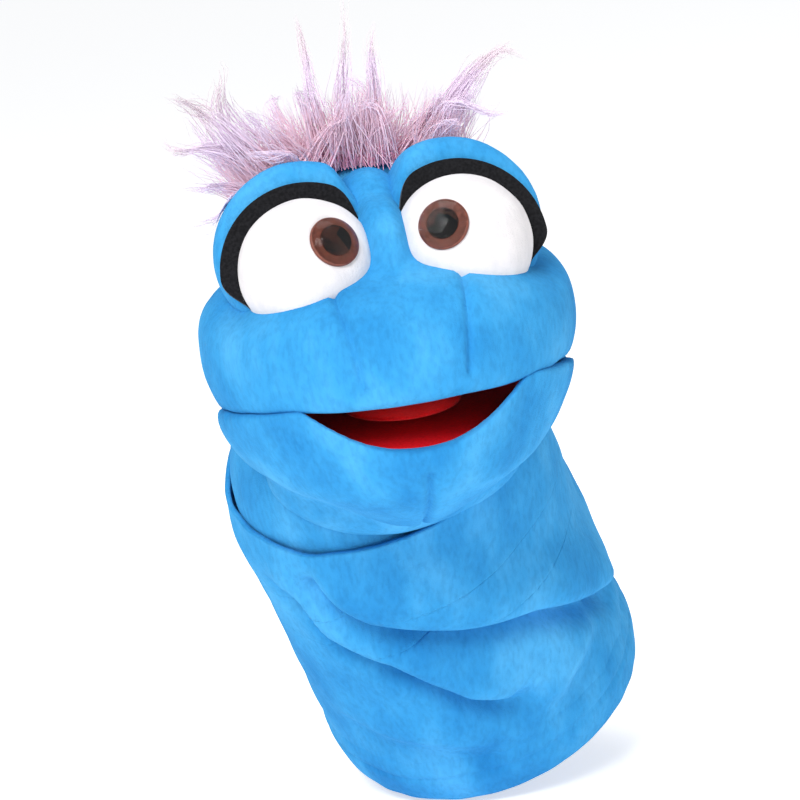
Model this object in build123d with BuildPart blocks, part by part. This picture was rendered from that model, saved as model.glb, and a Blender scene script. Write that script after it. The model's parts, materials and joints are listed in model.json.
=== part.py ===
"""A moving-mouth hand puppet: a plush head with a hinged jaw, on a loose sleeve for the arm.

The shared frame has its origin at the centre of the sleeve's opening and +Z up the upright head,
which looks along -Y. The puppet's own left is on the +X side.
Head and jaw are laid out about the middle of the jaw hinge, through at(x, y, z).
The sleeve and neck are laid out along the arm, which leans back and to one side.
"""

import math
import os

from build123d import *

# ---- driving dimensions, in millimetres and degrees ----
plush = 2.5  # plush fabric, pile and backing together
felt = 1.6
foam = 8.0  # padding inside the plush

# the arm, the sleeve about it and the wrist where head and arm meet
side_lean = 15.7
back_lean = 27.2
wrist_height = 141.0  # up the arm from the opening
wrist_from_hinge = (0.0, 52.0, -42.0)
sleeve_radius = 69.0
sleeve_height = 54.0
hem_height = 25.0
middle_fold = (54.0, 97.0)  # heights up the arm
upper_fold = (97.6, 134.0)
fold_bulge = 3.5
neck_ring_radius = 60.0
neck_cuff_radius = 56.6
neck_ring_zone = (-34.0, -9.0)  # heights above the wrist, up the arm
neck_cuff_drop = -30.0

# the head: a round muzzle below, with a round cranium behind it
muzzle_y = -25.0  # the muzzle is turned about this upright line
muzzle_radius = 75.0
muzzle_belt = 28.0  # height of its widest girth
muzzle_edge = 30.0  # side arc above the belt
muzzle_flank = 66.0  # side arc below the belt
muzzle_top = 62.0
cranium_radius = 54.0
cranium = (0.0, 8.0, 34.0)
head_base = -15.0  # height of the head's underside, behind the hinge
hinge_back = 2.0  # the underside starts this far behind the hinge
face_seam_y = -8.0  # seam between muzzle panels and back panels
centre_half_width = 19.0

# the mouth
mouth_half_angle = 6.0  # slope of each jaw with the mouth ajar
lip_clearance = 0.4  # each lip from the plane through the hinge
lining_height = 2.5  # each lining from that plane
lining = 1.2
board = 2.0
palate_radius = 61.0
palate_y = -21.0
hinge_setback = 3.4
hinge_cord_radius = 2.4
hinge_cord_length = 112.0
jaw_radius = 68.0
jaw_y = -30.0
jaw_edge = 34.0
jaw_depth = 53.0
jaw_belt = 2.0
jaw_back_slope = 45.0  # the jaw stops at this slope below its hinge

finger_pocket = (84.0, 84.0, 25.0)  # inside width, depth and height
finger_pocket_front = -70.0
thumb_pocket = (36.0, 50.0, 21.0)
thumb_pocket_front = -60.0
pocket_wall = 1.2

tongue_width = 46.0
tongue_front = -74.0
tongue_back = -9.0
tongue_thickness = 3.6

# the eyes
eye_radius = 27.0
eye_cover = 1.4
eye = (30.5, -53.0, 60.0)
gaze = (-0.36, -0.80, 0.48)
eye_seat = 25.2  # flat under the iris, from the eyeball's middle
iris_radius = 10.0
iris_thickness = 1.5
pupil_radius = 6.1
pupil_thickness = 0.4
lens_height = 4.0
post_radius = 2.0
post_length = 9.0
washer_radius = 5.5
washer_thickness = 1.2
hood_radius = 35.0
hood = (29.5, -38.0, 64.5)
hood_facing = (0.10, -0.93, 0.36)
hood_front = 1.0  # of the hood's rim behind the eyeball's middle
lash_overhang = 1.0  # how far the lash falls short of the hood's edge

# the hair: each lock runs from the root to a tip
hair_pad_radius = 15.0
hair_pad_thickness = 2.0
hair_root = (0.0, -6.0, 88.5)
hair_root_radius = 5.5
hair_tip_radius = 1.5
hair_tips = (
    (-66, -20, 137), (-74, -12, 121), (-48, -8, 148), (-28, -2, 155), (3, 0, 161), (12, 8, 158),
    (38, -4, 140), (62, -8, 126), (78, -10, 117), (0, 40, 124), (-32, 34, 118), (34, 34, 112),
)


# ---- places ----
side = math.radians(side_lean)
back = math.radians(back_lean)
arm = Vector(-math.sin(side), -math.cos(side) * math.sin(back), math.cos(side) * math.cos(back))
wrist = arm * wrist_height
hinge = wrist - Vector(*wrist_from_hinge)
arm_across = Vector(1, 0, -arm.X / arm.Z).normalized()
arm_section = Plane(origin=(0, 0, 0), x_dir=arm_across, z_dir=arm_across.cross(arm))
arm_axis = Axis((0, 0, 0), arm)
sides = (("left", 1), ("right", -1))


def at(x, y, z):
    """A point given about the middle of the jaw hinge."""
    return hinge + Vector(x, y, z)


def tilted(angle, height=0.0, x=0.0, y=0.0, z=0.0):
    """A level plane through a point about the hinge, tipped up at the front by an angle."""
    tip = math.radians(angle)
    facing = (0, math.sin(tip), math.cos(tip))
    return Plane(origin=at(x, y, z), x_dir=(1, 0, 0), z_dir=facing).offset(height)


def upright(facing, x=0.0, y=0.0, z=0.0):
    """A plane through a point about the hinge, facing along a direction."""
    return Plane(origin=at(x, y, z), z_dir=Vector(*facing))


def across_arm(height):
    """A plane across the arm at a height above the opening."""
    return Plane(origin=arm * height, x_dir=arm_across, z_dir=arm)


upper_mouth = tilted(mouth_half_angle)
lower_mouth = tilted(-mouth_half_angle)
left_half = upright((1, 0, 0))
front_half = upright((0, -1, 0), y=face_seam_y)


def save(piece, label):
    """Names a finished piece and writes it as its own file."""
    piece.part.label = label
    export_step(piece.part, f"parts/{label}.step")


# ---- forms shared by several pieces ----

def muzzle_form(inset):
    """The round muzzle, smaller all round by the inset, open to its flat underside."""
    edge, flank = muzzle_edge - inset, muzzle_flank - inset
    radius, top = muzzle_radius - inset, muzzle_top - inset
    edge_x, flank_x, rise = radius - edge, radius - flank, top - muzzle_belt
    crown_radius = (edge_x**2 + rise**2 - edge**2) / (2 * (rise - edge))
    crown_z = top - crown_radius
    lean = math.degrees(math.atan2(edge_x, muzzle_belt - crown_z))
    dip = math.degrees(math.asin((muzzle_belt - head_base) / flank))
    with BuildPart() as form:
        with BuildSketch(Plane(origin=at(0, muzzle_y, 0), x_dir=(1, 0, 0), z_dir=(0, -1, 0))):
            with BuildLine():
                flank_arc = CenterArc((flank_x, muzzle_belt), flank, -dip, dip)
                CenterArc((edge_x, muzzle_belt), edge, 0, 90 - lean)
                CenterArc((0, crown_z), crown_radius, 90 - lean, lean)
                Polyline((0, top), (0, head_base), flank_arc @ 0)
            make_face()
        revolve(axis=Axis(at(0, muzzle_y, 0), (0, 0, 1)))
    return form.part


def under_muzzle(height):
    """Everything below the upper lip, as far back as the hinge, to be cut from the head."""
    with BuildPart() as space:
        with BuildSketch(tilted(mouth_half_angle, height)):
            with Locations((0, hinge_back - 100)):
                Rectangle(300, 200)
        extrude(amount=-100)
    return space.part


def head_form(inset=0.0, lip=lip_clearance):
    """Muzzle and cranium as one solid, less the inset all round, cut level above its mouth."""
    with BuildPart() as form:
        add(muzzle_form(inset))
        with Locations(at(*cranium)):
            Sphere(cranium_radius - inset)
        split(bisect_by=tilted(0, head_base), keep=Keep.TOP)
        add(under_muzzle(lip), mode=Mode.SUBTRACT)
    return form.part


def jaw_form(inset=0.0, lip=lip_clearance):
    """The round jaw below its own lip, cut back to a slope below the hinge."""
    edge, radius, depth = jaw_edge - inset, jaw_radius - inset, jaw_depth - inset
    edge_x, drop = radius - edge, depth - jaw_belt
    crown_radius = (edge_x**2 + drop**2 - edge**2) / (2 * (drop - edge))
    crown_z = crown_radius - depth
    lean = math.degrees(math.atan2(edge_x, crown_z + jaw_belt))
    with BuildPart() as form:
        with BuildSketch(Plane(origin=at(0, jaw_y, 0), x_dir=(1, 0, 0), z_dir=(0, -1, 0))):
            with BuildLine():
                CenterArc((0, crown_z), crown_radius, -90, lean)
                CenterArc((edge_x, -jaw_belt), edge, lean - 90, 90 - lean)
                Polyline((radius, -jaw_belt), (radius, 0), (0, 0), (0, -depth))
            make_face()
        revolve(axis=Axis(at(0, jaw_y, 0), (0, 0, 1)))
        split(bisect_by=tilted(-mouth_half_angle, -lip), keep=Keep.BOTTOM)
        split(bisect_by=tilted(jaw_back_slope - 90, hinge_setback), keep=Keep.TOP)
    return form.part


def ball(radius, x, y, z):
    """A ball about a point given from the hinge."""
    with BuildPart() as form:
        with Locations(at(x, y, z)):
            Sphere(radius)
    return form.part


def wrist_ball(radius):
    return ball(radius, *wrist_from_hinge)


head_outside = head_form()
head_inside = head_form(plush)
head_hollow = head_form(plush + foam)
jaw_outside = jaw_form()
jaw_inside = jaw_form(plush)
jaw_hollow = jaw_form(plush + foam)

os.makedirs("parts", exist_ok=True)

# ---- the sleeve ----

for name, keep in (("front", Keep.TOP), ("back", Keep.BOTTOM)):
    with BuildPart() as sleeve_panel:
        with BuildSketch(across_arm(0)):
            Circle(sleeve_radius)
            Circle(sleeve_radius - plush, mode=Mode.SUBTRACT)
        extrude(amount=sleeve_height)
        split(bisect_by=Plane(origin=(0, 0, 0), z_dir=arm_section.z_dir), keep=keep)
    save(sleeve_panel, f"sleeve_{name}_panel")

with BuildPart() as sleeve_hem:
    with BuildSketch(across_arm(0)):
        Circle(sleeve_radius + plush)
        Circle(sleeve_radius, mode=Mode.SUBTRACT)
    extrude(amount=hem_height)
    fillet(sleeve_hem.faces().filter_by(GeomType.PLANE).edges().group_by(SortBy.RADIUS)[-1], 1.2)
save(sleeve_hem, "sleeve_hem")


def fold_profile(low, high, foot, brow):
    """Half the section of one slouched fold: a bowed outside and a straight inside."""
    with BuildSketch(arm_section) as profile:
        with BuildLine():
            ThreePointArc((foot, low), (sleeve_radius + fold_bulge, (low + high) / 2), (brow, high))
            Polyline((brow, high), (brow - plush, high), (foot - plush, low), (foot, low))
        make_face()
    return profile.sketch


with BuildPart() as sleeve_middle_fold:
    add(fold_profile(*middle_fold, sleeve_radius, sleeve_radius))
    revolve(axis=arm_axis)
save(sleeve_middle_fold, "sleeve_middle_fold")

with BuildPart() as sleeve_upper_fold:
    add(fold_profile(*upper_fold, sleeve_radius, neck_ring_radius + 1.0 + plush))
    revolve(axis=arm_axis)
save(sleeve_upper_fold, "sleeve_upper_fold")

with BuildPart() as neck_ring:
    add(wrist_ball(neck_ring_radius))
    add(wrist_ball(neck_ring_radius - plush), mode=Mode.SUBTRACT)
    split(bisect_by=across_arm(wrist_height + neck_ring_zone[0]), keep=Keep.TOP)
    split(bisect_by=across_arm(wrist_height + neck_ring_zone[1]), keep=Keep.BOTTOM)
save(neck_ring, "neck_ring")

# ---- the head's plush and padding ----

neck_lean = (0, muzzle_y - wrist_from_hinge[1] + 20, cranium[2] - wrist_from_hinge[2])

with BuildPart() as neck_cuff:
    add(wrist_ball(neck_cuff_radius))
    add(wrist_ball(neck_cuff_radius - plush), mode=Mode.SUBTRACT)
    split(bisect_by=upright(neck_lean, *wrist_from_hinge).offset(neck_cuff_drop), keep=Keep.TOP)
    add(head_outside, mode=Mode.SUBTRACT)
    split(bisect_by=upright((0, 1, 0), y=hinge_back), keep=Keep.TOP)
save(neck_cuff, "neck_cuff")


def head_shell(inset, hollow):
    """The head between two forms, with the way in for the hand cut through it."""
    with BuildPart() as shell:
        add(inset)
        add(hollow, mode=Mode.SUBTRACT)
        add(wrist_ball(neck_cuff_radius - plush), mode=Mode.SUBTRACT)
    return shell.part


head_skin = head_shell(head_outside, head_inside)

with BuildPart() as muzzle_centre_panel:
    add(head_skin)
    split(bisect_by=front_half, keep=Keep.TOP)
    split(bisect_by=upright((1, 0, 0), x=centre_half_width), keep=Keep.BOTTOM)
    split(bisect_by=upright((1, 0, 0), x=-centre_half_width), keep=Keep.TOP)
save(muzzle_centre_panel, "muzzle_centre_panel")

for name, way in sides:
    with BuildPart() as muzzle_panel:
        add(head_skin)
        split(bisect_by=front_half, keep=Keep.TOP)
        split(bisect_by=upright((way, 0, 0), x=way * centre_half_width), keep=Keep.TOP)
    save(muzzle_panel, f"muzzle_panel_{name}")

    with BuildPart() as back_panel:
        add(head_skin)
        split(bisect_by=front_half, keep=Keep.BOTTOM)
        split(bisect_by=upright((way, 0, 0)), keep=Keep.TOP)
    save(back_panel, f"head_back_panel_{name}")

# the underside behind the mouth, from cheek to neck
with BuildPart() as head_base_panel:
    add(head_inside)
    split(bisect_by=tilted(0, head_base + plush), keep=Keep.BOTTOM)
    add(wrist_ball(neck_cuff_radius), mode=Mode.SUBTRACT)
save(head_base_panel, "head_base_panel")

with BuildPart() as head_padding:
    add(head_shell(head_inside, head_hollow))
    split(bisect_by=front_half, keep=Keep.TOP)
    split(bisect_by=tilted(mouth_half_angle, lining_height + lining + board), keep=Keep.TOP)
save(head_padding, "head_padding")

# ---- the eyes ----

for name, way in sides:
    eye_middle = (way * eye[0], eye[1], eye[2])
    look = Vector(-way * abs(gaze[0]), gaze[1], gaze[2]).normalized()
    hood_plane = upright((way * hood_facing[0], *hood_facing[1:]), *eye_middle).offset(-hood_front)
    iris_plane = Plane(origin=at(*eye_middle), z_dir=look).offset(eye_seat)

    with BuildPart() as eye_white:
        add(ball(eye_radius, *eye_middle))
        add(ball(eye_radius - eye_cover, *eye_middle), mode=Mode.SUBTRACT)
        split(bisect_by=iris_plane, keep=Keep.BOTTOM)
        add(head_outside, mode=Mode.SUBTRACT)
    save(eye_white, f"eye_white_{name}")

    with BuildPart() as eye_filling:
        add(ball(eye_radius - eye_cover, *eye_middle))
        split(bisect_by=iris_plane, keep=Keep.BOTTOM)
        add(head_outside, mode=Mode.SUBTRACT)
        with BuildSketch(iris_plane):
            Circle(post_radius)
        extrude(amount=-post_length, mode=Mode.SUBTRACT)
        with BuildSketch(iris_plane.offset(-post_length)):
            Circle(washer_radius)
        extrude(amount=-washer_thickness, mode=Mode.SUBTRACT)
    save(eye_filling, f"eye_filling_{name}")

    with BuildPart() as iris:
        with BuildSketch(iris_plane):
            Circle(iris_radius)
        extrude(amount=iris_thickness)
        chamfer(iris.faces().sort_by(Axis(at(0, 0, 0), look))[-1].edges(), 0.4)
    save(iris, f"iris_{name}")

    with BuildPart() as pupil:
        with BuildSketch(iris_plane.offset(iris_thickness)):
            Circle(pupil_radius)
        extrude(amount=pupil_thickness)
    save(pupil, f"pupil_{name}")

    lens_base = iris_radius - 0.4
    lens_radius = (lens_base**2 + lens_height**2) / (2 * lens_height)
    with BuildPart() as eye_lens:
        lens_plane = iris_plane.offset(iris_thickness)
        with Locations(lens_plane.offset(lens_height - lens_radius)):
            Sphere(lens_radius)
        split(bisect_by=lens_plane, keep=Keep.TOP)
        with BuildSketch(lens_plane):
            Circle(pupil_radius)
        extrude(amount=pupil_thickness, mode=Mode.SUBTRACT)
    save(eye_lens, f"eye_lens_{name}")

    with BuildPart() as eye_post:
        with BuildSketch(iris_plane):
            Circle(post_radius)
        extrude(amount=-post_length)
    save(eye_post, f"eye_post_{name}")

    with BuildPart() as eye_washer:
        with BuildSketch(iris_plane.offset(-post_length)):
            Circle(washer_radius)
        extrude(amount=-washer_thickness)
    save(eye_washer, f"eye_washer_{name}")

    with BuildPart() as lash:
        add(ball(hood_radius - lash_overhang, way * hood[0], *hood[1:]))
        add(ball(eye_radius, *eye_middle), mode=Mode.SUBTRACT)
        split(bisect_by=hood_plane, keep=Keep.BOTTOM)
        split(bisect_by=hood_plane.offset(-felt), keep=Keep.TOP)
        add(head_outside, mode=Mode.SUBTRACT)
        split(bisect_by=left_half, keep=Keep.TOP if way > 0 else Keep.BOTTOM)
    save(lash, f"lash_{name}")

    with BuildPart() as brow_hood:
        add(ball(hood_radius, way * hood[0], *hood[1:]))
        add(ball(eye_radius, *eye_middle), mode=Mode.SUBTRACT)
        split(bisect_by=hood_plane.offset(-felt), keep=Keep.BOTTOM)
        add(head_outside, mode=Mode.SUBTRACT)
        split(bisect_by=left_half, keep=Keep.TOP if way > 0 else Keep.BOTTOM)
    save(brow_hood, f"brow_hood_{name}")

# ---- the hair ----

with BuildPart() as hair_pad:
    add(ball(cranium_radius + hair_pad_thickness, *cranium))
    with BuildSketch(tilted(0, x=hair_root[0], y=hair_root[1])):
        Circle(hair_pad_radius)
    extrude(amount=200, mode=Mode.INTERSECT)
    split(bisect_by=tilted(0, cranium[2]), keep=Keep.TOP)
    add(head_outside, mode=Mode.SUBTRACT)
    for way in (1, -1):
        add(ball(hood_radius, way * hood[0], *hood[1:]), mode=Mode.SUBTRACT)
save(hair_pad, "hair_pad")

with BuildPart() as hair_locks:
    with Locations(at(*hair_root)):
        Sphere(hair_root_radius)
    for tip in hair_tips:
        reach = Vector(*tip) - Vector(*hair_root)
        with Locations(Plane(origin=at(*hair_root) + reach * 0.5, z_dir=reach)):
            Cone(hair_root_radius, hair_tip_radius, reach.length)
    add(head_outside, mode=Mode.SUBTRACT)
    add(ball(cranium_radius + hair_pad_thickness, *cranium), mode=Mode.SUBTRACT)
    for way in (1, -1):
        add(ball(hood_radius + 0.3, way * hood[0], *hood[1:]), mode=Mode.SUBTRACT)
save(hair_locks, "hair_locks")

# ---- the mouth ----

def mouth_sheet(plane, low, high):
    """A board or lining: round at the front, straight across just ahead of the hinge."""
    with BuildPart() as sheet:
        with BuildSketch(plane.offset(low)):
            with Locations((0, palate_y)):
                Circle(palate_radius)
            with Locations((0, 100 - hinge_setback)):
                Rectangle(300, 200, mode=Mode.SUBTRACT)
        extrude(amount=high - low)
    return sheet


lining_top = lining_height + lining
save(mouth_sheet(upper_mouth, lining_height, lining_top), "palate_lining")
save(mouth_sheet(upper_mouth, lining_top, lining_top + board), "upper_mouth_board")
save(mouth_sheet(lower_mouth, -lining_top, -lining_height), "floor_lining")
save(mouth_sheet(lower_mouth, -lining_top - board, -lining_top), "lower_mouth_board")

with BuildPart() as mouth_hinge_cord:
    with BuildSketch(upright((1, 0, 0)).offset(-hinge_cord_length / 2)):
        Circle(hinge_cord_radius)
    extrude(amount=hinge_cord_length)
save(mouth_hinge_cord, "mouth_hinge_cord")


def hand_pocket(plane, inside, front, away):
    """A flat glove with a round end, standing on a mouth board and open at the back."""
    width, depth, height = inside
    middle_y = front + depth / 2
    with BuildPart() as pocket:
        with BuildSketch(plane):
            with Locations((0, middle_y)):
                RectangleRounded(width + 2 * pocket_wall, depth + 2 * pocket_wall, width * 0.3)
        extrude(amount=away * (height + 2 * pocket_wall))
        with BuildSketch(plane.offset(away * pocket_wall)):
            with Locations((0, middle_y)):
                RectangleRounded(width, depth, width * 0.3 - pocket_wall)
        extrude(amount=away * height, mode=Mode.SUBTRACT)
        opening = Plane(origin=plane.from_local_coords((0, middle_y + depth / 2 - width * 0.3, 0)),
                        z_dir=plane.y_dir)
        split(bisect_by=opening, keep=Keep.BOTTOM)
    return pocket


save(hand_pocket(tilted(mouth_half_angle, lining_top + board), finger_pocket, finger_pocket_front, 1),
     "finger_pocket")
save(hand_pocket(tilted(-mouth_half_angle, -lining_top - board), thumb_pocket, thumb_pocket_front, -1),
     "thumb_pocket")

# ---- the jaw ----

for name, way in sides:
    with BuildPart() as chin_panel:
        add(jaw_outside)
        add(jaw_inside, mode=Mode.SUBTRACT)
        split(bisect_by=upright((way, 0, 0)), keep=Keep.TOP)
    save(chin_panel, f"chin_panel_{name}")

with BuildPart() as jaw_padding:
    add(jaw_inside)
    add(jaw_hollow, mode=Mode.SUBTRACT)
    split(bisect_by=tilted(-mouth_half_angle, -lining_top - board), keep=Keep.BOTTOM)
save(jaw_padding, "jaw_padding")

with BuildPart() as tongue:
    with BuildSketch(tilted(0, -tongue_thickness / 2)):
        with Locations((0, (tongue_front + tongue_back) / 2)):
            RectangleRounded(tongue_width, tongue_back - tongue_front, tongue_width / 2 - 1)
    extrude(amount=tongue_thickness)
    fillet(tongue.edges().group_by(Axis.Z)[-1], 1.2)
    fillet(tongue.edges().group_by(Axis.Z)[0], 1.2)
save(tongue, "tongue")
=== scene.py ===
import json
import math
import random

import bmesh
import bpy
from mathutils import Matrix, Vector, noise


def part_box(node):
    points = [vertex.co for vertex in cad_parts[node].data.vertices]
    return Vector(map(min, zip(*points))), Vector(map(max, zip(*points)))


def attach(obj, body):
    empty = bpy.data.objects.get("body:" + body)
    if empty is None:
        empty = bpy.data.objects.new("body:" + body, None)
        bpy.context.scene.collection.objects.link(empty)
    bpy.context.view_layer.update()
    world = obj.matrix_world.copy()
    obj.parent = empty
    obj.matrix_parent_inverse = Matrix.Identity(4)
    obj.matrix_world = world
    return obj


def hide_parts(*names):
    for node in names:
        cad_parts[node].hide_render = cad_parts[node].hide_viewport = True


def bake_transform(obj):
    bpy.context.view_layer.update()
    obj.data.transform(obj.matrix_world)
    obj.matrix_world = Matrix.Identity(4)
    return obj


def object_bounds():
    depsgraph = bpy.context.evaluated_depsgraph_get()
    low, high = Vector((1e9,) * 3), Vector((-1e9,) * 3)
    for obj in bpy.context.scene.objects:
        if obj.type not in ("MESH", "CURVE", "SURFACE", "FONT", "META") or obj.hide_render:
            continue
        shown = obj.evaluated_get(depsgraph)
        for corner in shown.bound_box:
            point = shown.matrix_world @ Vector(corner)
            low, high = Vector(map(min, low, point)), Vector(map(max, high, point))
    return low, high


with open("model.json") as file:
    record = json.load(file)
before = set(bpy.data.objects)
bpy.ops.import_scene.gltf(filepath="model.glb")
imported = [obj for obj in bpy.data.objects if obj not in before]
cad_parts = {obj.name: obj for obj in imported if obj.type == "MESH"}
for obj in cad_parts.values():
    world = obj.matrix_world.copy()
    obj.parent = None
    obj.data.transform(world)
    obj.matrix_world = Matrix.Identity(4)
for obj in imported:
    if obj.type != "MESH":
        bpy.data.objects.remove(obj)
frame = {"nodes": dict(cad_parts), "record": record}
cadLow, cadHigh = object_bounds()
mm = 0.001

# places worked out from the imported part's own joints
jointOf = {j["name"]: j for j in frame["record"]["behaviour"]["joints"]}
hinge = Vector(jointOf["mouth_open"]["pos_m"])
wrist = Vector(jointOf["head_nod"]["pos_m"])
arm = Vector(jointOf["head_turn"]["axis"]).normalized()
across = Vector((1, 0, -arm.x / arm.z)).normalized()
front = across.cross(arm).normalized()
sides = (("left", 1), ("right", -1))


def at(x, y, z):
    return hinge + Vector((x, y, z)) * mm  # a point in mm about the mouth hinge


def upArm(height, angle=0.0, radius=0.0):
    # a point in mm up the arm, turned about it from the front towards the puppet's left
    a = math.radians(angle)
    return arm * height * mm + (across * math.sin(a) + front * math.cos(a)) * radius * mm


def smoothStep(low, high, value):
    t = min(1.0, max(0.0, (value - low) / (high - low)))
    return t * t * (3 - 2 * t)


def bump(value, middle, width):
    return math.exp(-(((value - middle) / width) ** 2))


def finishPiece(name, bm, smooth=True):
    bmesh.ops.recalc_face_normals(bm, faces=bm.faces)
    mesh = bpy.data.meshes.new(name)
    bm.to_mesh(mesh)
    bm.free()
    for face in mesh.polygons:
        face.use_smooth = smooth
    piece = bpy.data.objects.new(name, mesh)
    bpy.context.scene.collection.objects.link(piece)
    return piece


def bake(piece):
    # applies the piece's modifiers to its mesh
    graph = bpy.context.evaluated_depsgraph_get()
    mesh = bpy.data.meshes.new_from_object(piece.evaluated_get(graph))
    old = piece.data
    piece.modifiers.clear()
    piece.data = mesh
    bpy.data.meshes.remove(old)
    return piece


def merged(forms, voxel, name="form"):
    # joins closed forms into one skin by a voxel remesh
    whole = bmesh.new()
    for form in forms:
        bmesh.ops.recalc_face_normals(form, faces=form.faces)
        mesh = bpy.data.meshes.new("part")
        form.to_mesh(mesh)
        form.free()
        whole.from_mesh(mesh)
        bpy.data.meshes.remove(mesh)
    piece = finishPiece(name, whole)
    remesh = piece.modifiers.new("join", "REMESH")
    remesh.mode = "VOXEL"
    remesh.voxel_size = voxel * mm
    return bake(piece)


def asBmesh(piece):
    bm = bmesh.new()
    bm.from_mesh(piece.data)
    mesh = piece.data
    bpy.data.objects.remove(piece)
    bpy.data.meshes.remove(mesh)
    return bm


def relax(bm, times, factor=0.5):
    for _ in range(times):
        bmesh.ops.smooth_vert(bm, verts=bm.verts, factor=factor, use_axis_x=True, use_axis_y=True, use_axis_z=True)


def keepSide(bm, point, normal, fill=False):
    # cuts a form by a plane and keeps what the normal points to
    geometry = bm.verts[:] + bm.edges[:] + bm.faces[:]
    cut = bmesh.ops.bisect_plane(
        bm, geom=geometry, plane_co=point, plane_no=normal, clear_inner=True, dist=1e-7)
    if fill:
        edges = [e for e in cut["geom_cut"] if isinstance(e, bmesh.types.BMEdge)]
        bmesh.ops.holes_fill(bm, edges=edges, sides=0)
    return bm


def ball(centre, size, turn=0.0, rings=32):
    bm = bmesh.new()
    bmesh.ops.create_uvsphere(bm, u_segments=rings * 2, v_segments=rings, radius=1.0)
    place = Matrix.Translation(centre) @ Matrix.Rotation(math.radians(turn), 4, "X")
    sizes = size if hasattr(size, "__len__") else (size, size, size)
    bmesh.ops.transform(bm, verts=bm.verts, matrix=place @ Matrix.Diagonal((*[s * mm for s in sizes], 1)))
    return bm


def turned(middle, radiusAt, low, high, rings=40):
    # a closed form turned about an upright line, its radius a function of height
    bm = bmesh.new()
    bmesh.ops.create_uvsphere(bm, u_segments=96, v_segments=rings * 2, radius=1.0)
    for v in bm.verts:
        level = math.asin(max(-1.0, min(1.0, v.co.z))) / math.pi + 0.5
        z = low + (high - low) * (0.5 - 0.5 * math.cos(math.pi * level))
        flat = Vector((v.co.x, v.co.y, 0))
        flat = flat.normalized() if flat.length > 1e-6 else flat
        v.co = middle + (flat * radiusAt(z) + Vector((0, 0, z))) * mm
    return bm


def newMaterial(name):
    material = bpy.data.materials.new(name)
    material.use_nodes = True
    tree = material.node_tree
    return material, tree, tree.nodes["Principled BSDF"]


def noiseNode(tree, scale, detail, stretch=(1, 1, 1)):
    coords = tree.nodes.new("ShaderNodeTexCoord")
    mapping = tree.nodes.new("ShaderNodeMapping")
    mapping.inputs["Scale"].default_value = stretch
    pattern = tree.nodes.new("ShaderNodeTexNoise")
    pattern.inputs["Scale"].default_value = scale
    pattern.inputs["Detail"].default_value = detail
    tree.links.new(coords.outputs["Object"], mapping.inputs["Vector"])
    tree.links.new(mapping.outputs["Vector"], pattern.inputs["Vector"])
    return pattern


def ramp(tree, source, stops):
    node = tree.nodes.new("ShaderNodeValToRGB")
    while len(node.color_ramp.elements) < len(stops):
        node.color_ramp.elements.new(0.5)
    for element, (place, colour) in zip(node.color_ramp.elements, stops):
        element.position = place
        element.color = (*colour, 1)
    tree.links.new(source, node.inputs["Fac"])
    return node


def bumpNode(tree, shader, height, strength, distance):
    node = tree.nodes.new("ShaderNodeBump")
    node.inputs["Strength"].default_value = strength
    node.inputs["Distance"].default_value = distance
    tree.links.new(height, node.inputs["Height"])
    tree.links.new(node.outputs["Normal"], shader.inputs["Normal"])


def mixColour(tree, blendType, factor, first, second):
    node = tree.nodes.new("ShaderNodeMix")
    node.data_type = "RGBA"
    node.blend_type = blendType
    node.inputs["Factor"].default_value = factor
    tree.links.new(first, node.inputs["A"])
    tree.links.new(second, node.inputs["B"])
    return node.outputs["Result"]


# deep is a painted shade copy and lit a painted sheen copy of the body colour, laid in random patches
plushLook = {
    "deep": (0.016, 0.21, 0.51), "body": (0.036, 0.295, 0.62), "lit": (0.080, 0.395, 0.73),
    "patches": 34.0, "tufts": 520.0, "pile": 1700.0, "sheen": 0.3, "contrast": 0.5,
}


def plushMaterial(name, look):
    # short pile: random broad patches of painted shade (deep) and painted sheen highlight (lit) over the body colour,
    # small tufts and the pile itself
    material, tree, shader = newMaterial(name)
    patches = noiseNode(tree, look["patches"], 5.0, (1.0, 1.0, 0.6))
    tufts = noiseNode(tree, look["tufts"], 4.0, (1.0, 1.0, 0.45))
    pile = noiseNode(tree, look["pile"], 3.0)
    # the patches paint shade (deep) and sheen highlights (lit) into the colour
    broad = ramp(tree, patches.outputs["Fac"], ((0.28, look["deep"]), (0.5, look["body"]), (0.72, look["lit"])))
    fine = ramp(tree, tufts.outputs["Fac"], ((0.32, (0.66, 0.70, 0.74)), (0.58, (1.0, 1.0, 1.0))))
    colour = mixColour(tree, "MULTIPLY", look["contrast"], broad.outputs["Color"], fine.outputs["Color"])
    tree.links.new(colour, shader.inputs["Base Color"])
    height = tree.nodes.new("ShaderNodeMath")
    height.operation = "ADD"
    tree.links.new(tufts.outputs["Fac"], height.inputs[0])
    tree.links.new(pile.outputs["Fac"], height.inputs[1])
    bumpNode(tree, shader, height.outputs["Value"], 0.45, 0.0006)
    shader.inputs["Roughness"].default_value = 0.92
    shader.inputs["Sheen Weight"].default_value = look["sheen"]
    shader.inputs["Sheen Roughness"].default_value = 0.45
    shader.inputs["Sheen Tint"].default_value = (*look["lit"], 1)
    shader.inputs["Specular IOR Level"].default_value = 0.15
    return material


# the white fleece's deep and lit are likewise painted shade and painted sheen copies of its colour
fleeceLook = {
    "deep": (0.66, 0.64, 0.65), "body": (0.74, 0.71, 0.72), "lit": (0.80, 0.78, 0.78),
    "patches": 90.0, "tufts": 500.0, "pile": 1600.0, "sheen": 0.2, "contrast": 0.12,
}


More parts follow.
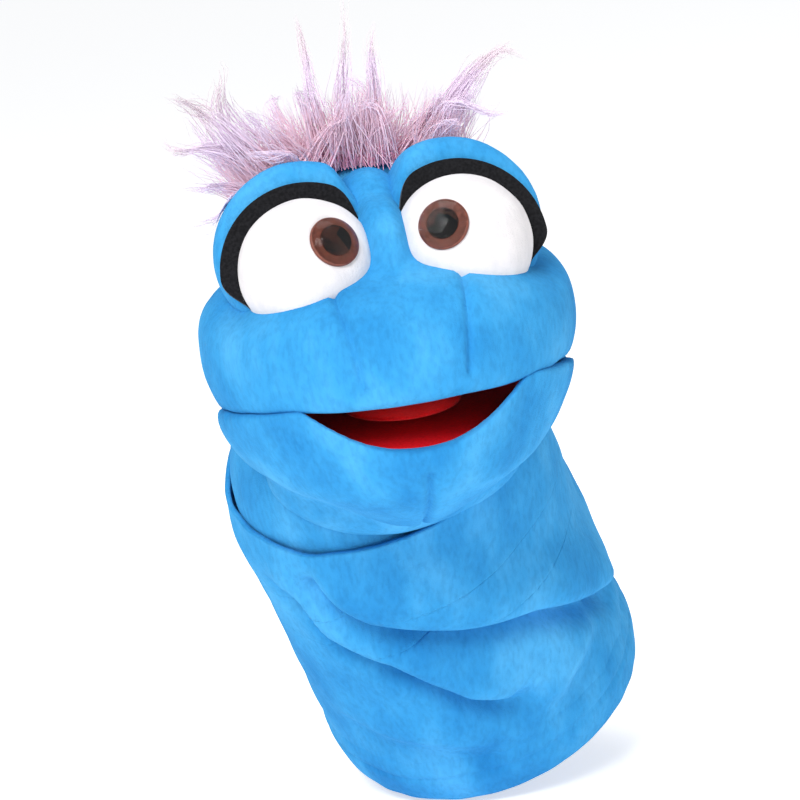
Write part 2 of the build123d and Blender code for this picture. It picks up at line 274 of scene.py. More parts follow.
def feltMaterial(name, colour, dark, scale=900.0, sheen=0.15):
    material, tree, shader = newMaterial(name)
    fibres = noiseNode(tree, scale, 6.0)
    shade = ramp(tree, fibres.outputs["Fac"], ((0.35, dark), (0.65, colour)))
    tree.links.new(shade.outputs["Color"], shader.inputs["Base Color"])
    bumpNode(tree, shader, fibres.outputs["Fac"], 0.35, 0.0004)
    shader.inputs["Roughness"].default_value = 0.95
    shader.inputs["Sheen Weight"].default_value = sheen
    shader.inputs["Specular IOR Level"].default_value = 0.1
    return material


def plasticMaterial(name, colour, dark, roughness, scale=300.0):
    material, tree, shader = newMaterial(name)
    streaks = noiseNode(tree, scale, 5.0)
    shade = ramp(tree, streaks.outputs["Fac"], ((0.3, dark), (0.7, colour)))
    tree.links.new(shade.outputs["Color"], shader.inputs["Base Color"])
    shader.inputs["Roughness"].default_value = roughness
    return material


def clearMaterial(name):
    material, tree, shader = newMaterial(name)
    shader.inputs["Base Color"].default_value = (1, 1, 1, 1)
    shader.inputs["Roughness"].default_value = 0.0
    shader.inputs["IOR"].default_value = 1.17
    shader.inputs["Transmission Weight"].default_value = 1.0
    return material


def plainMaterial(name, colour, roughness=0.7, sheen=0.3):
    material, tree, shader = newMaterial(name)
    shader.inputs["Base Color"].default_value = (*colour, 1)
    shader.inputs["Roughness"].default_value = roughness
    shader.inputs["Sheen Weight"].default_value = sheen
    return material


bluePlush = plushMaterial("bluePlush", plushLook)
whiteFleece = plushMaterial("whiteFleece", fleeceLook)
redLining = feltMaterial("redLining", (0.80, 0.008, 0.016), (0.66, 0.005, 0.011))
tongueRed = feltMaterial("tongueRed", (0.90, 0.022, 0.026), (0.78, 0.014, 0.018))
blackFelt = feltMaterial("blackFelt", (0.012, 0.012, 0.014), (0.004, 0.004, 0.005))
irisBrown = plasticMaterial("irisBrown", (0.23, 0.055, 0.030), (0.11, 0.026, 0.014), 0.6, 700.0)
pupilBlack = plasticMaterial("pupilBlack", (0.004, 0.004, 0.004), (0.002, 0.002, 0.002), 0.8)
lensClear = clearMaterial("lensClear")
postWhite = plasticMaterial("postWhite", (0.78, 0.78, 0.75), (0.70, 0.70, 0.68), 0.5)
boardGrey = feltMaterial("boardGrey", (0.22, 0.22, 0.23), (0.15, 0.15, 0.16), 500.0)
pocketCloth = feltMaterial("pocketCloth", (0.05, 0.055, 0.07), (0.03, 0.03, 0.04), 1200.0)


def dress(piece, material):
    piece.data.materials.clear()
    piece.data.materials.append(material)
    return piece


head = {
    "voxel": 1.9, "turnLine": (0, -25, 0), "width": 75.0, "belt": 28.0, "flank": 66.0,
    "top": 62.0, "squareness": 0.72, "underside": -14.0,
    "cranium": ((0, 8, 35), (60, 54, 52)), "bridge": ((0, -49, 59), (11, 25, 25)), "brow": ((0, -24, 66), (17, 27, 26)),
    "neckBall": 64.0, "lipRise": 6.0, "cornerLift": 3.0, "bed": 4.2,
    "seam": 18.5, "seamLean": 7.0, "seamDepth": 2.1, "seamWidth": 1.5,
}


def muzzleRadius(z):
    if z < head["belt"]:
        drop = min(head["flank"] - 0.1, head["belt"] - z)
        return head["width"] - head["flank"] + math.sqrt(head["flank"] ** 2 - drop**2)
    rise = min(1.0, (z - head["belt"]) / (head["top"] - head["belt"]))
    return head["width"] * (1 - rise ** (2 / head["squareness"])) ** (head["squareness"] / 2)


def seamGroove(bm, distanceTo, depth, width):
    # a sewn seam draws the plush in along a line
    bm.normal_update()
    for v in bm.verts:
        pull = bump(distanceTo(v.co), 0.0, width * mm)
        v.co -= v.normal * pull * depth * mm


print("shaping the head")
muzzle = turned(at(*head["turnLine"]), muzzleRadius, -30.0, head["top"])
keepSide(muzzle, at(0, 0, head["underside"]), Vector((0, 0, 1)), fill=True)
cranium = ball(at(*head["cranium"][0]), head["cranium"][1])
bridge = ball(at(*head["bridge"][0]), head["bridge"][1])
brow = ball(at(*head["brow"][0]), head["brow"][1])
neckBall = ball(wrist, head["neckBall"])
neckWeb = ball(at(0, 37, 0), (60, 35, 44), 20)
skin = asBmesh(merged([muzzle, cranium, bridge, brow, neckBall, neckWeb], head["voxel"]))
relax(skin, 14)
# the mouth is cut out below the lip and ahead of the throat
headSolid = finishPiece("headSolid", skin)
cutter = bmesh.new()
bmesh.ops.create_cube(cutter, size=1.0)
tip = Matrix.Rotation(math.radians(-head["lipRise"]), 4, "X")
reach = 0.2
bmesh.ops.transform(cutter, verts=cutter.verts, matrix=Matrix.Translation(at(0, 0, 0.4)) @ tip
                    @ Matrix.Translation((0, -reach / 2 + 2 * mm, -reach / 2)) @ Matrix.Diagonal((reach, reach, reach, 1)))
cutterPiece = finishPiece("cutter", cutter)
cutting = headSolid.modifiers.new("mouth", "BOOLEAN")
cutting.operation = "DIFFERENCE"
cutting.object = cutterPiece
cutting.solver = "EXACT"
bake(headSolid)
remesh = headSolid.modifiers.new("even", "REMESH")
remesh.mode = "VOXEL"
remesh.voxel_size = head["voxel"] * mm
bake(headSolid)
bpy.data.objects.remove(cutterPiece)
skin = asBmesh(headSolid)
relax(skin, 5)


def sculptHead(bm):
    for v in bm.verts:
        x, y, z = (v.co - hinge) / mm
        # the lids fall away to the outside of each eye
        fall = bump(abs(x), 60, 16) * bump(y, -50, 26) * smoothStep(30, 52, z)
        v.co.z -= 5.0 * fall * mm
        # the upper lip curves up towards each corner of the mouth
        nearLip = 1 - smoothStep(2, 24, z)
        v.co.z += head["cornerLift"] * smoothStep(34, 72, abs(x)) * smoothStep(12, -8, y) * nearLip * mm
        # the roof of the mouth is sunk to take its lining
        rim = math.hypot(x / head["width"], (y - head["turnLine"][1]) / head["width"])
        bed = (1 - smoothStep(0.78, 0.87, rim)) * smoothStep(12, 3, z + math.tan(math.radians(6)) * y) * smoothStep(2, -6, y)
        v.co.z += head["bed"] * bed * mm
        # loose stuffing leaves the plush a little uneven
        drift = noise.noise(v.co * 22.0) * 1.4 + noise.noise(v.co * 70.0) * 0.35
        v.co += v.normal * drift * (1 - bed) * mm


skin.normal_update()
sculptHead(skin)
seamBack = at(0, -8, 0)
lean = math.radians(head["seamLean"])
seamNormals = {way: Vector((way * math.cos(lean), 0, -math.sin(lean))) for _, way in sides}
seamPoints = {way: at(way * head["seam"], 0, 0) for _, way in sides}


def sewSeam(bm, point, normal, region, depth=head["seamDepth"]):
    # a row of points on the seam's own line, then the plush drawn in along it
    bmesh.ops.bisect_plane(bm, geom=bm.verts[:] + bm.edges[:] + bm.faces[:], plane_co=point, plane_no=normal, dist=1e-7)
    seamGroove(bm, lambda co: (co - point).dot(normal) if region((co - hinge) / mm) else 1.0, depth, head["seamWidth"])


for way in (1, -1):
    sewSeam(skin, seamPoints[way], seamNormals[way], lambda p: p.y < -8 and p.z > 17)
sewSeam(skin, seamBack, Vector((0, 1, 0)), lambda p: p.z > 8)
sewSeam(skin, hinge, Vector((1, 0, 0)), lambda p: p.y > -8, 1.2)
sewSeam(skin, hinge, Vector((1, 0, 0)), lambda p: p.y < -40 and p.z > 42, 0.8)

panels = (
    ("muzzleCentre", "muzzle_centre_panel",
     ((seamBack, (0, -1, 0)), (seamPoints[1], -seamNormals[1]), (seamPoints[-1], -seamNormals[-1]))),
    ("muzzleLeft", "muzzle_panel_left", ((seamBack, (0, -1, 0)), (seamPoints[1], seamNormals[1]))),
    ("muzzleRight", "muzzle_panel_right", ((seamBack, (0, -1, 0)), (seamPoints[-1], seamNormals[-1]))),
    ("headBackLeft", "head_back_panel_left", ((seamBack, (0, 1, 0)), (at(0, 0, 0), (1, 0, 0)))),
    ("headBackRight", "head_back_panel_right", ((seamBack, (0, 1, 0)), (at(0, 0, 0), (-1, 0, 0)))),
)
for name, node, cuts in panels:
    panel = skin.copy()
    for point, normal in cuts:
        keepSide(panel, point, Vector(normal))
    piece = dress(finishPiece(name, panel), bluePlush)
    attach(piece, "head")
    hidden = {"head_back_panel_left": ["neck_cuff", "head_base_panel"], "head_back_panel_right": ["head_padding"]}
    extra = hidden.get(node, [])
    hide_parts(node, *extra)
skin.free()


jaw = {
    "voxel": 1.9, "middle": (0, -30, -2), "size": (72, 71, 49), "lip": -0.4, "throat": ((0, 4, -30), (54, 44, 32)),
    "fan": (0.0, 22.0), "fanShrink": 0.22, "pout": 0.22, "roll": 2.6, "pinch": 0.5, "bed": 4.2,
}


def jawForm(angle, shrink):
    form = ball(at(*jaw["middle"]), jaw["size"], rings=40)
    lip = math.radians(-6.0)
    keepSide(form, at(0, 0, jaw["lip"]), -Vector((0, math.sin(lip), math.cos(lip))), fill=True)
    keepSide(form, at(0, -1, 0), Vector((0, -1, 0)), fill=True)
    turn = Matrix.Translation(hinge) @ Matrix.Rotation(math.radians(angle), 4, "X") @ Matrix.Diagonal(
        (1 - shrink, 1 - shrink, 1 - shrink, 1)) @ Matrix.Translation(-hinge)
    bmesh.ops.transform(form, verts=form.verts, matrix=turn)
    return form


print("shaping the jaw and throat")
forms = [jawForm(a, jaw["fanShrink"] * i) for i, a in enumerate(jaw["fan"])]
throat = ball(at(*jaw["throat"][0]), jaw["throat"][1])
keepSide(throat, at(0, 0, -6), Vector((0, 0, -1)), fill=True)
jawSkin = asBmesh(merged([*forms, throat], jaw["voxel"]))
relax(jawSkin, 7)
jawSkin.normal_update()
for v in jawSkin.verts:
    x, y, z = (v.co - hinge) / mm
    # a rolled lip stands round the lining, and rises to meet the upper lip towards each corner
    rim = math.hypot(x / jaw["size"][0], (y - jaw["middle"][1]) / jaw["size"][1])
    level = smoothStep(-22, -3, z - math.tan(math.radians(6)) * y) * smoothStep(0.80, 0.92, rim) * smoothStep(-2, -16, y)
    v.co.z += (jaw["roll"] + jaw["pout"] * -y * min(1.0, (abs(x) / 44) ** 2.2)) * level * mm
    # the chin narrows to its seam
    v.co.x -= (v.co.x - hinge.x) * jaw["pinch"] * smoothStep(-8, -52, z) * smoothStep(0, -40, y)
    # the bed under the lining is sunk a little and stays even
    bed = smoothStep(-12, -3, z - math.tan(math.radians(6)) * y) * (1 - smoothStep(0.80, 0.90, rim)) * smoothStep(2, -6, y)
    v.co.z -= jaw["bed"] * bed * mm
    drift = noise.noise(v.co * 24.0 + Vector((3, 1, 7))) * 1.2 + noise.noise(v.co * 70.0) * 0.35
    v.co += v.normal * drift * (1 - bed) * mm
sewSeam(jawSkin, hinge, Vector((1, 0, 0)), lambda p: p.y < -20 and p.z < -19)
for name, way in sides:
    half = jawSkin.copy()
    keepSide(half, at(0, 0, 0), Vector((way, 0, 0)))
    label = "chin" + name.title()
    piece = dress(finishPiece(label, half), bluePlush)
    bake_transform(piece)
    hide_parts(f"chin_panel_{name}", *(["jaw_padding"] if way > 0 else []))
jawSkin.free()


mouth = {"radius": 63.0, "middle": -27.0, "setback": 2.0, "thickness": 1.2}


def liningSheet(name, angle, height, bodyName, node):
    bm = bmesh.new()
    bmesh.ops.create_circle(bm, cap_ends=True, segments=96, radius=mouth["radius"] * mm)
    bmesh.ops.inset_region(bm, faces=bm.faces, thickness=6 * mm)
    bmesh.ops.subdivide_edges(bm, edges=bm.edges, cuts=3, use_grid_fill=True)
    bmesh.ops.triangulate(bm, faces=[f for f in bm.faces if len(f.verts) > 4])
    bmesh.ops.translate(bm, verts=bm.verts, vec=Vector((0, mouth["middle"] * mm, 0)))
    keepSide(bm, Vector((0, -mouth["setback"] * mm, 0)), Vector((0, -1, 0)))
    for v in bm.verts:
        v.co.z += noise.noise(v.co * 60.0) * 0.2 * mm
    place = Matrix.Translation(hinge) @ Matrix.Rotation(math.radians(-angle), 4, "X") @ Matrix.Translation(
        (0, 0, height * mm))
    bmesh.ops.transform(bm, verts=bm.verts, matrix=place)
    piece = dress(finishPiece(name, bm), redLining)
    thick = piece.modifiers.new("felt", "SOLIDIFY")
    thick.thickness = mouth["thickness"] * mm
    thick.offset = 0.0
    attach(piece, bodyName)
    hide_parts(node)
    return piece


liningSheet("palateCloth", 6.0, 3.1, "head", "palate_lining")
liningSheet("floorCloth", -6.0, -3.1, "jaw", "floor_lining")

tongueLow, tongueHigh = ((v - hinge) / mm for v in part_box("tongue"))
tongueShape = {
    "width": 23.0, "front": tongueLow.y, "back": tongueHigh.y, "thick": 1.8, "level": (tongueLow.z + tongueHigh.z) / 2,
}
print("shaping the tongue")
bm = bmesh.new()
bmesh.ops.create_uvsphere(bm, u_segments=64, v_segments=24, radius=1.0)
for v in bm.verts:
    x, y, z = v.co
    length = (tongueShape["back"] - tongueShape["front"]) / 2
    middle = (tongueShape["back"] + tongueShape["front"]) / 2
    flat = math.copysign(abs(z) ** 0.6, z)
    broad = 1.0 - 0.12 * smoothStep(0.2, 1.0, y)
    v.co = Vector((x * tongueShape["width"] * broad, middle + y * length, flat * tongueShape["thick"])) * mm
    v.co.z -= 0.5 * bump(v.co.x / mm, 0, 3.0) * (1 if z > 0 else 0) * mm
    v.co += hinge + Vector((0, 0, tongueShape["level"] * mm))
piece = dress(finishPiece("tongueSoft", bm), tongueRed)
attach(piece, "tongue")
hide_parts("tongue")


eye = {
    "middle": (30.5, -53, 60), "radius": 27.6, "hoodMiddle": (29.5, -38, 64.5), "hood": 35.5,
    "facing": (0.10, -0.93, 0.36), "lashInner": 26.4, "lashOuter": 34.0, "lashThick": 2.6,
    "lashStart": -28.0, "lashEnd": 148.0,
}


def frontOf(point, facing):
    z = facing.normalized()
    x = Vector((0, 0, 1)).cross(z).normalized()
    y = z.cross(x)
    turn = Matrix((x, y, z)).transposed().to_4x4()
    return Matrix.Translation(point) @ turn


print("shaping the eyes")
for name, way in sides:
    middle = at(way * eye["middle"][0], *eye["middle"][1:])
    facing = Vector((way * eye["facing"][0], *eye["facing"][1:])).normalized()
    look = Vector((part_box(f"eye_lens_{name}")[0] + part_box(f"eye_lens_{name}")[1]) / 2 - middle).normalized()

    white = ball(middle, eye["radius"] - 0.4, rings=44)
    seat = 25.2 * mm
    for v in white.verts:
        out = (v.co - middle).dot(look)
        v.co -= look * max(0.0, out - seat + 0.3 * mm)
        v.co += (v.co - middle).normalized() * noise.noise(v.co * 90.0) * 0.35 * mm
    keepSide(white, middle - facing * 12 * mm, facing)
    keepSide(white, middle - Vector((0, 0, 24 * mm)), Vector((0, 0, 1)))
    piece = dress(finishPiece("eyeWhite" + name.title(), white), whiteFleece)
    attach(piece, "head")
    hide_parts(f"eye_white_{name}", f"eye_filling_{name}")

    hoodBall = ball(at(way * eye["hoodMiddle"][0], *eye["hoodMiddle"][1:]), eye["hood"], rings=40)
    keepSide(hoodBall, middle - facing * 0.5 * mm, -facing, fill=True)
    # the two hoods part above the bridge
    keepSide(hoodBall, at(way * 5, 0, 78), Vector((way, 0, -0.5)), fill=True)
    keepSide(hoodBall, at(way * 4, 0, 0), Vector((way, 0, 0)), fill=True)
    keepSide(hoodBall, at(0, 0, 40), Vector((0, 0, 1)), fill=True)
    hoodSkin = asBmesh(merged([hoodBall], 1.7))
    relax(hoodSkin, 14, 0.6)
    hoodSkin.normal_update()
    for v in hoodSkin.verts:
        v.co += v.normal * (noise.noise(v.co * 30.0) * 1.0 + noise.noise(v.co * 75.0) * 0.3) * mm
    piece = dress(finishPiece("browHood" + name.title(), hoodSkin), bluePlush)
    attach(piece, "head")
    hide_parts(f"brow_hood_{name}")

    lash = bmesh.new()
    a = lash.verts.new((eye["lashInner"] * mm, 0, 0))
    b = lash.verts.new((eye["lashOuter"] * mm, 0, 0))
    edge = lash.edges.new((a, b))
    bmesh.ops.subdivide_edges(lash, edges=[edge], cuts=5)
    turn = math.radians(eye["lashEnd"] - eye["lashStart"])
    bmesh.ops.spin(lash, geom=lash.verts[:] + lash.edges[:], cent=(0, 0, 0), axis=(0, 0, 1),
                   angle=turn, steps=90, use_merge=False)
    bmesh.ops.rotate(lash, verts=lash.verts, cent=(0, 0, 0),
                     matrix=Matrix.Rotation(math.radians(eye["lashStart"]), 3, "Z"))
    for v in lash.verts:
        angle = math.degrees(math.atan2(v.co.y, v.co.x))
        angle = angle + 360 if angle < -90 else angle
        radius = v.co.length / mm
        share = (angle - eye["lashStart"]) / (eye["lashEnd"] - eye["lashStart"])
        taper = smoothStep(0.0, 0.16, share) * smoothStep(1.0, 0.80, share)
        radius = eye["lashInner"] + (radius - eye["lashInner"]) * (0.12 + 0.88 * taper)
        v.co = v.co.normalized() * radius * mm
        v.co.x *= way
    solid = bmesh.ops.extrude_face_region(lash, geom=lash.faces[:])
    bmesh.ops.translate(lash, verts=[g for g in solid["geom"] if isinstance(g, bmesh.types.BMVert)],
                        vec=Vector((0, 0, eye["lashThick"] * mm)))
    bmesh.ops.transform(lash, verts=lash.verts, matrix=frontOf(middle - facing * 0.6 * mm, facing)
                        )
    piece = dress(finishPiece("lash" + name.title() + "Felt", lash, smooth=False), blackFelt)
    soften = piece.modifiers.new("soften", "BEVEL")
    soften.width = 0.5 * mm
    soften.segments = 2
    soften.angle_limit = math.radians(50)
    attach(piece, "head")
    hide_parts(f"lash_{name}")

cadLooks = {
    "iris": irisBrown, "pupil": pupilBlack, "eye_lens": lensClear, "eye_post": postWhite, "eye_washer": postWhite,
    "finger_pocket": pocketCloth,
    "thumb_pocket": pocketCloth, "upper_mouth_board": boardGrey, "lower_mouth_board": boardGrey,
    "mouth_hinge_cord": redLining, "hair_pad": bluePlush,
}
for nodeName, node in frame["nodes"].items():
    for start, material in cadLooks.items():
        if nodeName.startswith(start):
            node.data.materials.clear()
            node.data.materials.append(material)


sleeve = {
    "radius": 69.5, "around": 220, "up": 150, "thickness": 2.2, "foot": 0.0, "top": 152.0,
    "collar": 97.0, "cowl": 118.0, "hem": 25.0,
}
# each fold: its crest as turns from the front and heights up the arm, how far it stands out, how wide, how deep beneath
folds = (
    {"crest": ((-46, 148), (-30, 127), (-3, 109), (22, 95), (47, 72), (64, 60)), "out": 6.5, "wide": 20, "under": 11.0},
    {"crest": ((-58, 136), (-48, 115), (-29, 98), (-10, 68), (2, 58)), "out": 5.5, "wide": 16, "under": 9.0},
    {"crest": ((20, 40), (44, 52), (70, 58), (92, 80)), "out": 2.6, "wide": 12, "under": 3.0},
    {"crest": ((-60, 52), (-36, 44), (-14, 34)), "out": 2.2, "wide": 12, "under": 2.4},
    {"crest": ((100, 88), (150, 108), (200, 120), (250, 104)), "out": 3.5, "wide": 16, "under": 4.5},
    {"crest": ((120, 60), (180, 66), (240, 44)), "out": 3.0, "wide": 16, "under": 3.5},
)


def crestAt(line, turn):
    for (a, low), (b, high) in zip(line, line[1:]):
        if a <= turn <= b:
            return low + (high - low) * (turn - a) / (b - a)
    return line[0][1] if turn < line[0][0] else line[-1][1]


def clothRadius(angle, height):
    # how far the slouched cloth stands from the arm, and how far each fold hangs down over itself
    radius, hang = sleeve["radius"], 0.0
    for fold in folds:
        first, last = fold["crest"][0][0], fold["crest"][-1][0]
        for turn in (angle, angle - 360, angle + 360):
            if not first - 16 < turn < last + 16:
                continue
            above = height - crestAt(fold["crest"], turn)
            inside = smoothStep(first - 16, first + 6, turn) * (1 - smoothStep(last - 8, last + 16, turn))
            inside *= 1 - 0.75 * smoothStep(134, 152, height)  # the top edge lies close round the neck
            rise = bump(above, 0, fold["wide"] if above > 0 else fold["wide"] * 0.45)
            radius += inside * (fold["out"] * rise - fold["under"] * bump(above, -14, 9))
            hang += inside * fold["under"] * 0.9 * bump(above, -2, 9)
    radius -= 4.0 * smoothStep(132, 156, height)
    return radius, hang


def tube(around, rows):
    # an open tube one unit high, in even rows
    bm = bmesh.new()
    bmesh.ops.create_circle(bm, segments=around, radius=1.0)
    grown = bm.edges[:]
    for _ in range(rows):
        step = bmesh.ops.extrude_edge_only(bm, edges=grown)["geom"]
        grown = [g for g in step if isinstance(g, bmesh.types.BMEdge)]
        bmesh.ops.translate(bm, verts=[g for g in step if isinstance(g, bmesh.types.BMVert)], vec=Vector((0, 0, 1 / rows)))
    return bm


def faceOutward(piece):
    # cloth thickens inwards, so its faces have to point away from the arm
    outward = sum((1 if f.normal.dot(f.center - arm * f.center.dot(arm)) > 0 else -1) for f in piece.data.polygons)
    if outward < 0:
        piece.data.flip_normals()


print("draping the sleeve")
cloth = tube(sleeve["around"], sleeve["up"])
for v in cloth.verts:
    angle = math.degrees(math.atan2(v.co.x, v.co.y))
    height = sleeve["foot"] + (sleeve["top"] - sleeve["foot"]) * v.co.z
    radius, hang = clothRadius(angle, height)
    drift = Vector((v.co.x * 1.7, v.co.y * 1.7, height / 60))
    radius += noise.noise(drift) * 1.8 * smoothStep(10, 40, height) + noise.noise(drift * 4.0) * 0.5
    fixed = min(smoothStep(0, 20, height), 1.0)
    v.co = upArm(height - hang * fixed * 0.6, angle, radius)
cloth.normal_update()
bands = (
    ("sleeveLower", 0.0, sleeve["collar"], None, ("sleeve_front_panel", "sleeve_back_panel", "sleeve_middle_fold")),
    ("sleeveCollar", sleeve["collar"], sleeve["cowl"], ("sleeve", "collar"), ("sleeve_upper_fold",)),
    ("sleeveCowl", sleeve["cowl"], sleeve["top"] + 30, ("collar", "neck"), ("neck_ring",)),
)
for name, low, high, bodies, nodes in bands:
    band = cloth.copy()
    if low > 0:
        keepSide(band, arm * low * mm, arm)
    if high < sleeve["top"]:
        keepSide(band, arm * high * mm, -arm)
    piece = dress(finishPiece(name, band), bluePlush)
    faceOutward(piece)
    thick = piece.modifiers.new("cloth", "SOLIDIFY")
    thick.thickness = sleeve["thickness"] * mm
    thick.offset = -1.0
    if bodies:
        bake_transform(piece)
    else:
        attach(piece, "sleeve")
    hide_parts(*nodes)
cloth.free()


hem = {"stitch": 14.0, "stitchDepth": 0.9, "height": 25.0, "foot": -1.0, "stand": 1.6, "thick": 3.0, "rows": 26}
print("turning up the hem")
bm = tube(sleeve["around"], hem["rows"])
for v in bm.verts:
    angle = math.degrees(math.atan2(v.co.x, v.co.y))
    level = v.co.z
    height = hem["foot"] + (hem["height"] - hem["foot"]) * level
    radius, _ = clothRadius(angle, height)
    puff = math.sin(math.pi * min(1.0, level * 1.02)) ** 0.5
    drift = Vector((v.co.x * 1.7, v.co.y * 1.7, height / 60))
    radius -= hem["stitchDepth"] * bump(height, hem["stitch"], 1.3)
    radius += hem["stand"] * puff - 1.2 * (1 - puff) + noise.noise(drift * 3.0) * 0.5
    v.co = upArm(height, angle, radius)
piece = dress(finishPiece("sleeveHem", bm), bluePlush)
faceOutward(piece)
thick = piece.modifiers.new("cloth", "SOLIDIFY")
thick.thickness = hem["thick"] * mm
thick.offset = -1.0
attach(piece, "sleeve")
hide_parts("sleeve_hem")


hair = {
    "seed": 11, "fluff": 900, "strands": 62, "thick": 0.21, "steps": 11,
    # each lock: the foot it grows from, where its tip is, and how wide it is at the foot
    "locks": (
        ((-34, -6, 86), (-70, -22, 130), 9), ((-30, -4, 87), (-76, -16, 112), 9), ((-40, -10, 82), (-74, -30, 96), 8),
        ((-42, -12, 78), (-70, -34, 80), 8), ((-26, 0, 90), (-50, -14, 140), 9), ((-22, -2, 90), (-44, -24, 118), 10),
        ((-12, -4, 91), (-22, -8, 128), 10), ((-10, 2, 91), (-16, -2, 152), 8), ((-2, -6, 91), (0, -14, 122), 10),
        ((2, 0, 91), (6, -4, 160), 7), ((6, 0, 91), (14, -2, 146), 7), ((10, -6, 91), (22, -16, 114), 10),
        ((18, -4, 91), (34, -14, 118), 9), ((24, -2, 90), (48, -18, 116), 9), ((30, -4, 88), (66, -10, 128), 8),
        ((34, -6, 86), (62, -22, 106), 8), ((30, 0, 88), (74, -6, 118), 7), ((-20, -8, 90), (-8, -22, 110), 11),
        ((-32, -8, 86), (-46, -28, 104), 11), ((8, -8, 91), (-4, -22, 108), 10), ((28, -8, 87), (40, -24, 104), 9),
        ((-36, 4, 84), (-64, 10, 118), 9), ((-16, 10, 88), (-26, 30, 120), 10), ((4, 12, 88), (4, 38, 122), 10),
        ((22, 10, 86), (36, 30, 114), 10), ((-28, 14, 82), (-48, 34, 102), 10), ((32, 8, 84), (56, 18, 112), 9),
    ),
}
hairShades = (
    plainMaterial("furRoot", (0.90, 0.40, 0.54)), plainMaterial("furRose", (0.90, 0.64, 0.75)),
    plainMaterial("furLilac", (0.82, 0.68, 0.84)), plainMaterial("furTip", (0.76, 0.64, 0.70)),
)
print("growing the hair")
rand = random.Random(hair["seed"])
hoodMiddles = [at(way * eye["hoodMiddle"][0], *eye["hoodMiddle"][1:]) for _, way in sides]
curve = bpy.data.curves.new("hairCurve", "CURVE")
curve.dimensions = "3D"
curve.bevel_depth = hair["thick"] * mm
curve.bevel_resolution = 0
curve.use_fill_caps = True


def jitter(size):
    return Vector((rand.gauss(0, size), rand.gauss(0, size), rand.gauss(0, size)))


for foot, tip, wide in hair["locks"]:
    foot, tip = Vector(foot), Vector(tip)
    lockBend = jitter(5.0) + Vector((0, 0, 6))
    lockWave, lockPhase = jitter(2.4), rand.uniform(0, 6)
    for _ in range(hair["strands"]):
        begin = foot + Vector((rand.gauss(0, wide * 0.5), rand.gauss(0, wide * 0.45), 0))
        begin.z -= 1.0 + ((begin.x**2 + begin.y**2) / 190) - (foot.x**2 + foot.y**2) / 190
        length = rand.uniform(0.35, 1.0)
        wave, phase = jitter(1.3), rand.uniform(0, 6)
        spline = curve.splines.new("POLY")
        spline.points.add(hair["steps"] - 1)
        for i, point in enumerate(spline.points):
            t = i / (hair["steps"] - 1)
            along = t * length
            # a lock gathers together towards its tip
            place = begin.lerp(tip, along) + lockBend * math.sin(math.pi * along)
            place += lockWave * math.sin(lockPhase + along * 7) * along + wave * math.sin(phase + along * 9) * (0.3 + along)
            spot = at(*place)
            for middle in hoodMiddles:
                away = spot - middle
                if away.length < (eye["hood"] + 0.6) * mm and t > 0.1:
                    spot = middle + away.normalized() * (eye["hood"] + 0.6) * mm
            point.co = (*spot, 1)
            point.radius = (1 - t) ** 0.5 * 0.85 + 0.15
for _ in range(hair["fluff"]):
    # short down fills the foot of the tuft
    begin = Vector((rand.uniform(-42, 38), rand.uniform(-10, 14), 0))
    begin.z = 90 - (begin.x**2 + begin.y**2) / 190
    tip = begin + Vector((begin.x * 0.35 + rand.gauss(0, 7), rand.gauss(-4, 8), rand.uniform(14, 30)))
    wave, phase = jitter(1.8), rand.uniform(0, 6)
    spline = curve.splines.new("POLY")
    spline.points.add(5)
    for i, point in enumerate(spline.points):
        t = i / 5
        point.co = (*at(*(begin.lerp(tip, t) + wave * math.sin(phase + t * 6) * t)), 1)
        point.radius = (1 - t) ** 0.5 * 0.85 + 0.15
hairCurve = bpy.data.objects.new("hairCurve", curve)
bpy.context.scene.collection.objects.link(hairCurve)
graph = bpy.context.evaluated_depsgraph_get()
hairMesh = bpy.data.meshes.new_from_object(hairCurve.evaluated_get(graph))
bpy.data.objects.remove(hairCurve)
piece = bpy.data.objects.new("hairTuft", hairMesh)
bpy.context.scene.collection.objects.link(piece)
hairMesh.materials.clear()
for shade in hairShades:
    hairMesh.materials.append(shade)
rootPoint = at(0, 4, 40)
for face in hairMesh.polygons:
    away = (face.center - rootPoint).length / mm + rand.gauss(0, 4)
    face.material_index = 0 if away < 57 else 1 if away < 76 else 2 if away < 96 else 3
    face.use_smooth = True
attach(piece, "head")
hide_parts("hair_locks")


view = {
    "target": (0, -30, 30), "distance": 1.5, "azimuth": -7.0, "elevation": 12.0, "roll": 8.0,
    "lens": 171.2, "aside": 4.9, "down": 30.7,
}


def camera():
    azimuth, elevation, roll = (math.radians(view[k]) for k in ("azimuth", "elevation", "roll"))
    back = Vector((math.sin(azimuth) * math.cos(elevation), -math.cos(azimuth) * math.cos(elevation),
                   math.sin(elevation)))
    right = Vector((math.cos(azimuth), math.sin(azimuth), 0))
    up = back.cross(right)
    rolledRight = right * math.cos(roll) - up * math.sin(roll)
    rolledUp = up * math.cos(roll) + right * math.sin(roll)
    place = at(*view["target"]) + back * view["distance"]
    place += (rolledRight * view["aside"] - rolledUp * view["down"]) * mm
    data = bpy.data.cameras.new("camera")
    data.lens = view["lens"]
    cam = bpy.data.objects.new("camera", data)
    cam.matrix_world = Matrix.Translation(place) @ Matrix((rolledRight, rolledUp, back)).transposed().to_4x4()
    bpy.context.scene.collection.objects.link(cam)
    bpy.context.scene.camera = cam


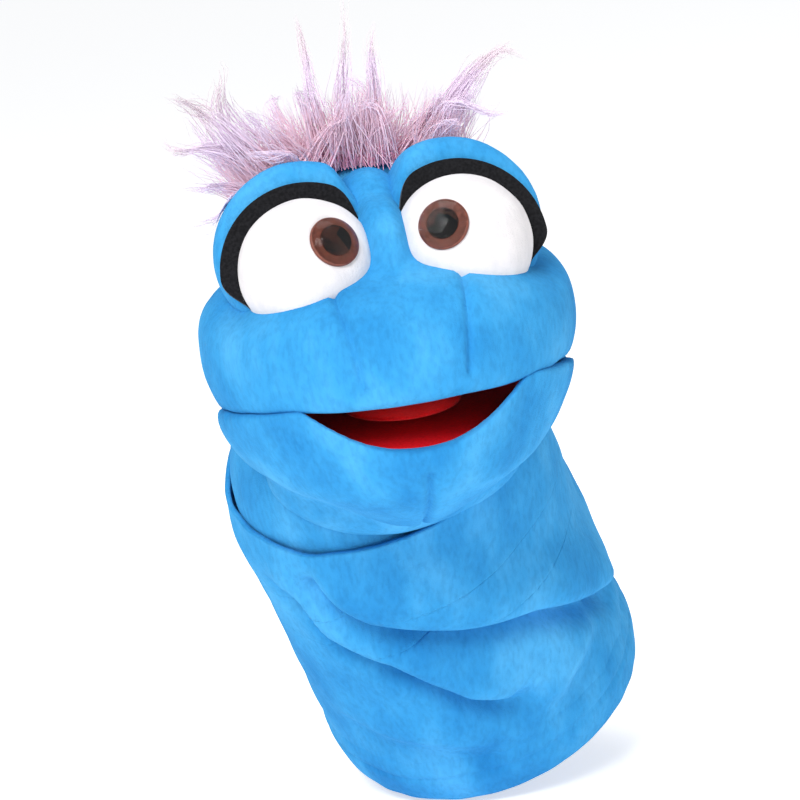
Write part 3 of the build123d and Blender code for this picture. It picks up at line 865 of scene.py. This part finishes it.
def softLight(name, place, size, power, aim):
    data = bpy.data.lights.new(name, "AREA")
    data.shape = "SQUARE"
    data.size = size
    data.energy = power
    lamp = bpy.data.objects.new(name, data)
    lamp.location = place
    lamp.rotation_mode = "QUATERNION"
    lamp.rotation_quaternion = (aim - place).to_track_quat("-Z", "Y")
    bpy.context.scene.collection.objects.link(lamp)


print("setting the stage")
camera()
middle = at(0, -20, 0)
softLight("keyLight", middle + Vector((-0.6, -1.1, 1.1)), 0.7, 23, middle)
softLight("fillLight", middle + Vector((1.0, -1.0, 0.3)), 1.0, 3.0, middle)
softLight("sparkLight", middle + Vector((-0.42, -1.35, 0.75)), 0.07, 1.1, middle)
softLight("topLight", middle + Vector((0.1, 0.3, 1.3)), 0.8, 7, middle)
world = bpy.data.worlds.new("studio")
world.use_nodes = True
world.node_tree.nodes["Background"].inputs["Color"].default_value = (0.95, 0.97, 1.0, 1)
world.node_tree.nodes["Background"].inputs["Strength"].default_value = 0.44
# the camera sees a plain white backdrop; the object is lit more softly by it
worldTree = world.node_tree
backdrop = worldTree.nodes.new("ShaderNodeBackground")
backdrop.inputs["Color"].default_value = (1, 1, 1, 1)
lightPath = worldTree.nodes.new("ShaderNodeLightPath")
chooser = worldTree.nodes.new("ShaderNodeMixShader")
worldTree.links.new(lightPath.outputs["Is Camera Ray"], chooser.inputs["Fac"])
worldTree.links.new(worldTree.nodes["Background"].outputs["Background"], chooser.inputs[1])
worldTree.links.new(backdrop.outputs["Background"], chooser.inputs[2])
worldTree.links.new(chooser.outputs["Shader"], worldTree.nodes["World Output"].inputs["Surface"])
bpy.context.scene.world = world
bpy.context.scene.view_settings.view_transform = "Standard"

floorMaterial, _, floorShader = newMaterial("floor")
floorShader.inputs["Base Color"].default_value = (0.92, 0.92, 0.92, 1)
floorShader.inputs["Roughness"].default_value = 0.9
floorShader.inputs["Emission Color"].default_value = (1, 1, 1, 1)
floorShader.inputs["Emission Strength"].default_value = 0.55
stageFloor = bmesh.new()
bmesh.ops.create_grid(stageFloor, x_segments=1, y_segments=1, size=6.0)
bmesh.ops.translate(stageFloor, verts=stageFloor.verts, vec=Vector((0, 0, cadLow[2] - 0.002)))
floorPiece = finishPiece("floor", stageFloor, smooth=False)
floorPiece.data.materials.append(floorMaterial)
